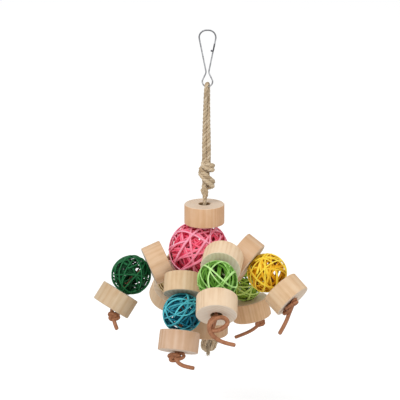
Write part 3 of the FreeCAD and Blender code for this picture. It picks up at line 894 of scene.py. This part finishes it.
def part_for(ways, passing, opening):
    """Turns away every direction that comes within a cord's opening: its angle from the cord becomes the cube
    root of (angle cubed + opening cubed)."""
    for way in passing:
        cosine = np.clip(ways @ way, -1, 1)
        angle = np.arccos(cosine)
        sideways = unit(ways - cosine[:, None] * way)
        wider = np.cbrt(angle ** 3 + opening ** 3)
        wider = np.where(angle < 4 * opening, wider, angle)
        ways = np.cos(wider)[:, None] * way + np.sin(wider)[:, None] * sideways
    return ways


def near_rings(centre, names):
    """Each ring's middle and its axis, turned to point to the ball."""
    found = []
    for name in names:
        ring_centre, ring_axis = (np.array(v) for v in places[name])
        found.append((ring_centre, ring_axis * np.sign(np.dot(centre - ring_centre, ring_axis))))
    return found


def hold_back(line, ring_places, margin_mm):
    """Pushes points out of each ring's near face: s is the height over the ring's middle and r the distance
    from its axis, and where r is inside the rim, s grows to at least half the ring's thickness and a margin."""
    for ring_centre, way in ring_places:
        off = line - ring_centre
        height = off @ way
        radial = np.linalg.norm(off - height[:, None] * way, axis=1) / MM
        over = np.maximum(RING_HALF_MM + margin_mm - height / MM, 0)
        inside = np.clip((RING_RADIUS_MM + 1.6 - radial) / 1.2, 0, 1)
        line = line + (over * inside * MM)[:, None] * way
    return line


# %% [markdown]
# Turns of the outer layers lie on each other. The inner ones are painted darker, partly for dye that pools
# there and partly as painted shade, since little light comes in, and the outermost are painted lighter as
# painted highlight. So each strand's depth runs from 0 inside to 1 outside, and the finish reads it.

# %% Wind a whole ball
STEP_MM = 1.4
# half a vine's thickness, as a share of its width
FLAT = 0.36
# how far a vine's ends tuck in, as shares of the ball's radius: one in four stands off instead
END_TUCKS = [0.12, 0.12, 0.12, -0.045]
END_RUN = 0.16
WAVE_SHARE = 0.04
# depth is 0 up to the first share of the ball's radius, and 1 from the second share further out
DARK_BELOW, LIGHT_OVER = 0.84, 0.14
cord_lines = list(lace_lines.values()) + [rope_line]


def vine_ball(node, body, slot, material, radius_mm, vines, width_mm, opening_deg, rings, seed):
    """Winds the vines in turn, parts them for the cords and holds them back behind the rings' faces. The
    radius is the ball's less layer, half a thickness, wave and tucked ends. A vine with no lean is wound about
    the line of sight, so that it rounds off the outline."""
    chance = np.random.default_rng(seed)
    low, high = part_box(node)
    centre = np.array((low + high) / 2)
    passing = crossings(centre, radius_mm - 1, cord_lines)
    standing = near_rings(centre, rings)
    swept = []
    for layer, turns, lean, swing, precess, side_by_side in vines:
        steps = int(turns * 2 * math.pi * radius_mm / STEP_MM)
        ways = wound_vine(turns, lean, swing, precess, chance, steps)
        ways = ways @ (any_turn(chance) if lean else np.array([screen_right, screen_up, to_camera]))
        t = np.linspace(0, turns * 2 * math.pi, steps)
        wave = ride_over(t, chance)
        for strand in range(side_by_side):
            width = width_mm * chance.uniform(0.70, 1.25)
            shift = (strand - (side_by_side - 1) / 2) * width_mm * 1.02 / radius_mm
            shifted = laid_beside(ways, t, shift, chance)
            shifted = part_for(shifted, passing, math.radians(opening_deg))
            trim = chance.integers(0, 9, 2)
            keep = slice(int(trim[0]), steps - int(trim[1]))
            at = t[keep] - t[keep][0]
            tuck = chance.choice(END_TUCKS, 2)
            ends = tuck[0] * np.exp(-at / END_RUN) + tuck[1] * np.exp(-(at[-1] - at) / END_RUN)
            radii = radius_mm - layer - FLAT * width - radius_mm * (WAVE_SHARE * wave[keep] + ends)
            line = hold_back(centre + shifted[keep] * radii[:, None] * MM, standing, 0.42 * width)
            off = line - centre
            side, up = frame_about(line, unit(off))
            depth = (np.linalg.norm(off, axis=1) / MM - radius_mm * DARK_BELOW) / (radius_mm * LIGHT_OVER)
            swept.append(sweep(line, side, up, width / 2 * MM, width * FLAT * MM, sides=8,
                               tone=chance.uniform(0.05, 0.95), depth=np.clip(depth, 0, 1)))
    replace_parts(join_sweeps(slot + "_" + node, swept, material, body), node)


# %% [markdown]
# The six small balls differ in dye and in the chance of their winding. The sixth, at the back, is left
# undyed. A dye is written from its darkest to its lightest, and every ball is wound from the same list of
# vines, from the inner double ones out to the single ones on top.

# %% Dyes and the six small balls
BALL_RADIUS_MM = 15.35
VINE_WIDTH_MM = 1.5
CORD_OPENING_DEG = 11
# slot, seed of the winding, and the dye from its darkest to its lightest, whose ends also carry the painted
# shade and light of depth
DYES = {
    "left_ball": ("vine_dark_green", 150, [(0.25, "#011407"), (0.60, "#084623"), (0.98, "#2a7848")]),
    "front_left_ball": ("vine_blue", 141, [(0.25, "#001820"), (0.58, "#066a82"), (0.95, "#60ced8")]),
    "front_ball": ("vine_light_green", 152, [(0.25, "#102a00"), (0.68, "#6ca638"), (0.93, "#ccf8a0")]),
    "right_ball": ("vine_yellow", 143, [(0.22, "#9a5600"), (0.48, "#eaa606"), (0.90, "#ffe24c")]),
    "back_right_ball": ("vine_green", 144, [(0.25, "#3e5c06"), (0.55, "#98bc3e"), (0.95, "#c8e27c")]),
    "back_ball": ("vine_natural", 145, [(0.25, "#7a5c34"), (0.58, "#c4a26a"), (0.95, "#ead7ac")]),
}
# layer in mm, turns, lean, swing, precession in degrees, strands side by side
SMALL_VINES = [
    (2.6, 3.0, 72, 20, 52, 2), (2.2, 3.0, 60, 24, -61, 2), (1.5, 2.6, 40, 22, 77, 1),
    (1.2, 2.6, 70, 22, 47, 1), (0.9, 2.4, 58, 24, -43, 1), (0.6, 2.2, 30, 24, 71, 1),
    (0.3, 2.4, 66, 22, -57, 1), (0.1, 2.0, 74, 26, 39, 1), (0.0, 1.8, 50, 28, 83, 1),
    (0.0, 1.3, 65, 24, -35, 1), (0.2, 1.15, 0, 7, 20, 2), (3.0, 3.0, 62, 24, 57, 2),
]
for node, (slot, seed, ramp) in DYES.items():
    dye = strand_finish("dyed_" + slot, ramp, (1.6, 0.35), 0.26, 0.50, (0.38, 0.60), 0.5, level=0.15)
    arm = node.removesuffix("_ball")
    vine_ball(node, node + "_spinner", slot, dye, BALL_RADIUS_MM, SMALL_VINES, VINE_WIDTH_MM, CORD_OPENING_DEG,
              [arm + "_inner_ring", arm + "_outer_ring"], seed)

# %% [markdown]
# ## The large pink ball
#
# The large ball is wound the same way from longer vine, closer together: its shell hides most of what is
# inside, and only a few holes show light. All three laces and both legs of the rope cross in it.

# %% Pink ball
PINK_RADIUS_MM = 23.4
PINK_WIDTH_MM = 1.55
PINK_OPENING_DEG = 8
PINK_SEED = 214
PINK_VINES = [
    (4.4, 3.2, 72, 20, 49, 3), (4.0, 3.0, 50, 24, -57, 3), (3.2, 3.0, 70, 22, 37, 3),
    (2.6, 2.8, 55, 24, -71, 2), (2.0, 2.8, 34, 24, 63, 1), (1.6, 2.6, 66, 22, -41, 2),
    (1.1, 2.4, 76, 22, 53, 1), (0.8, 2.4, 46, 26, 77, 1), (0.5, 2.2, 58, 24, -29, 1),
    (0.3, 2.0, 62, 24, -47, 1), (0.1, 1.8, 74, 26, 33, 1), (0.0, 1.6, 60, 26, -66, 1),
    (0.0, 1.4, 40, 26, 21, 1), (0.0, 1.1, 55, 26, -84, 1), (0.2, 1.15, 0, 9, 25, 2),
    (5.0, 3.0, 60, 24, 57, 3),
]
pink = strand_finish("dyed_vine_pink", [(0.22, "#a81428"), (0.45, "#fa4066"), (0.90, "#ffaac0")],
                     (1.4, 0.28), 0.26, 0.50, (0.38, 0.60), 0.5, level=0.15)
pink_rings = ["top_ring"] + [node.removesuffix("_ball") + "_inner_ring" for node in DYES]
vine_ball("pink_ball", "toy", "vine_pink", pink, PINK_RADIUS_MM, PINK_VINES, PINK_WIDTH_MM, PINK_OPENING_DEG,
          pink_rings, PINK_SEED)

# %% [markdown]
# ## Floor, light and background
#
# The toy hangs over a plain pale floor. The floor is dull and nearly white, and keeps the soft shadow. The
# camera also sees it glow a little, which makes it as white as the background without lighting the toy.

# %% Floor
FLOOR_BELOW = 0.07
FLOOR_HALF = 6
FLOOR_GLOW = 0.45
floor_height = solid_box[0][2] - FLOOR_BELOW
floor_mesh = bpy.data.meshes.new("floor")
floor_mesh.from_pydata([(FLOOR_HALF * x, FLOOR_HALF * y, floor_height)
                        for x, y in ((-1, -1), (1, -1), (1, 1), (-1, 1))], [], [(0, 1, 2, 3)])
floor = put("floor", floor_mesh)
pale, tree = new_finish("pale_floor")
rays = add(tree, "ShaderNodeLightPath")
seen = add(tree, "ShaderNodeMath", {0: rays.outputs["Is Camera Ray"], 1: FLOOR_GLOW}, operation="MULTIPLY")
dull = add(tree, "ShaderNodeBsdfDiffuse", {"Color": (0.8, 0.8, 0.8, 1)})
glow = add(tree, "ShaderNodeEmission", {"Strength": seen})
finish_with(tree, add(tree, "ShaderNodeAddShader", {0: dull, 1: glow}))
floor_mesh.materials.append(pale)
print("floor at %.1f mm" % (floor_height / MM))

# %% [markdown]
# Even light comes from all round. The background that the camera and shiny things see is white by itself, so
# no extra light has to fall on the toy to make it so.

# %% White surroundings
ROOM_LIGHT = 0.62
world = bpy.data.worlds.new("studio")
world.use_nodes = True
world.node_tree.nodes.clear()
tree = world.node_tree
rays = add(tree, "ShaderNodeLightPath")
direct = rays.outputs["Is Camera Ray"]
for kind in ("Is Glossy Ray", "Is Transmission Ray"):
    direct = add(tree, "ShaderNodeMath", {0: direct, 1: rays.outputs[kind]}, operation="MAXIMUM")
strength = add(tree, "ShaderNodeMapRange", {0: direct, 3: ROOM_LIGHT, 4: 1.0})
sky = add(tree, "ShaderNodeBackground", {"Color": (1, 1, 1, 1), "Strength": strength})
add(tree, "ShaderNodeOutputWorld", {"Surface": sky})
bpy.context.scene.world = world
print("room light %.2f of white" % ROOM_LIGHT)

# %% [markdown]
# One broad lamp stands up to the left and in front, and a weak one to the right lifts the shadows. Both face
# the toy's middle.

# %% Soft lamps
TOY_MIDDLE = Vector((0, 0, -0.16))


def soft_lamp(name, place, size, power):
    """A square area lamp that faces the toy's middle."""
    data = bpy.data.lights.new(name, "AREA")
    data.size = size
    data.energy = power
    lamp = put(name, data)
    lamp.location = place
    lamp.rotation_euler = (Vector(place) - TOY_MIDDLE).to_track_quat("Z", "Y").to_euler()
    print("%s: %.0f W" % (name, power))


soft_lamp("key_light", (-0.7, -1.1, 1.35), 1.1, 17.0)
soft_lamp("fill_light", (1.2, -1.2, 0.4), 1.2, 4.0)

# %% [markdown]
# ## View settings
#
# Colours are shown as written, with no film look over them.

# %% View settings
bpy.context.scene.view_settings.view_transform = "Standard"
